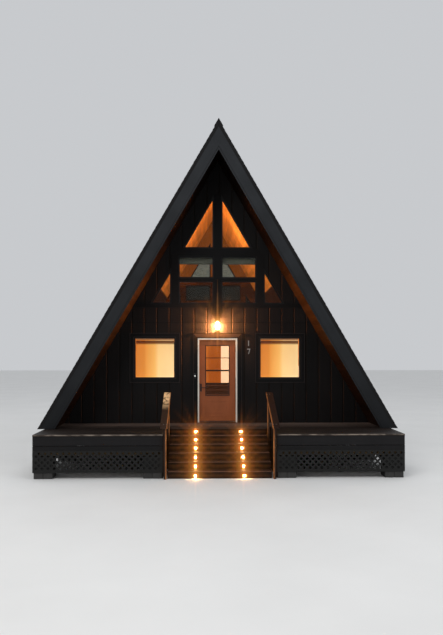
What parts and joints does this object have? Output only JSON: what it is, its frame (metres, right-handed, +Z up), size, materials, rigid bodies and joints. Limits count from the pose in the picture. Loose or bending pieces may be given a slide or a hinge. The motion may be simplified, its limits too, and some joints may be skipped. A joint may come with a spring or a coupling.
{
  "type": "a-frame cabin",
  "caption": "Steep timber cabin whose roof slopes reach the floor, with a glazed gable, a raised porch, a recessed stair and a hinged front door.",
  "frame": {"origin": "on the ground, under the middle of the cabin's box", "axes": "+X to the right seen from the front, +Y from the porch into the cabin, +Z up"},
  "size_m": [8.1646, 10.487, 7.9618],
  "materials": {
    "stained_dark_siding": "near-black stained vertical boards, satin",
    "charcoal_boards": "charcoal painted boards, matt",
    "stained_lining": "orange-brown stained boards, satin",
    "roofing_felt": "dark asphalt shingles, rough",
    "ridge_metal": "dark painted sheet, satin",
    "deck_timber": "weathered grey-brown boards, matt",
    "stair_timber": "dark brown stained boards, satin",
    "rail_timber": "brown stained planks, satin",
    "frame_timber": "treated structural timber, rough sawn",
    "lattice_wood": "charcoal painted lattice slats, matt",
    "concrete_block": "grey concrete block, rough",
    "window_frame_paint": "near-black paint, satin",
    "window_glass": "clear glass",
    "door_paint": "tan-brown painted door, satin",
    "white_paint": "off-white painted frame, satin",
    "threshold_metal": "worn anodised sill",
    "black_metal": "black powder coat, satin",
    "brushed_numerals": "brushed metal",
    "warm_light": "warm glowing lens"
  },
  "bodies": {
    "cabin": {"piers": "concrete_block", "girders": "frame_timber", "porch_joists": "frame_timber", "porch_deck": "deck_timber", "landing": "deck_timber", "end_skirt_boards": "charcoal_boards", "side_skirt_boards": "charcoal_boards", "stair_side_panels": "charcoal_boards", "front_lattices": "lattice_wood", "porch_end_lattices": "lattice_wood", "house_lattice_left": "lattice_wood", "house_lattice_right": "lattice_wood", "back_lattice": "lattice_wood", "stair_stringers": "stair_timber", "stair_risers": "stair_timber", "stair_treads": "stair_timber", "step_lights": "warm_light", "rail_posts": "rail_timber", "handrails": "rail_timber", "floor": "frame_timber", "loft_floor": "stained_lining", "lining_left": "stained_lining", "lining_right": "stained_lining", "roof_left": "frame_timber", "roof_right": "frame_timber", "roofing_left": "roofing_felt", "roofing_right": "roofing_felt", "ridge_cap": "ridge_metal", "front_barge_board_left": "charcoal_boards", "front_barge_board_right": "charcoal_boards", "back_barge_board_left": "charcoal_boards", "back_barge_board_right": "charcoal_boards", "front_wall_left": "stained_dark_siding", "front_wall_right": "stained_dark_siding", "front_wall_over_door": "stained_dark_siding", "front_gable": "stained_dark_siding", "back_wall": "stained_dark_siding", "back_gable": "stained_dark_siding", "front_window_frames": "window_frame_paint", "back_window_frames": "window_frame_paint", "front_window_glass": "window_glass", "back_window_glass": "window_glass", "front_trim": "stained_dark_siding", "back_trim": "stained_dark_siding", "door_frame": "white_paint", "door_threshold": "threshold_metal", "door_hinges": "black_metal", "lantern": "black_metal", "house_numerals": "brushed_numerals"},
    "front_door": {"door_leaf": "door_paint", "door_glass": "window_glass", "door_handle": "black_metal"}
  },
  "joints": [
    {"name": "front_door_hinge", "type": "hinge", "parent": "cabin", "child": "front_door", "pos_m": [0.4475, -2.5362, 1.93], "axis": [0, 0, -1], "range_deg": [0, 100]}
  ]
}
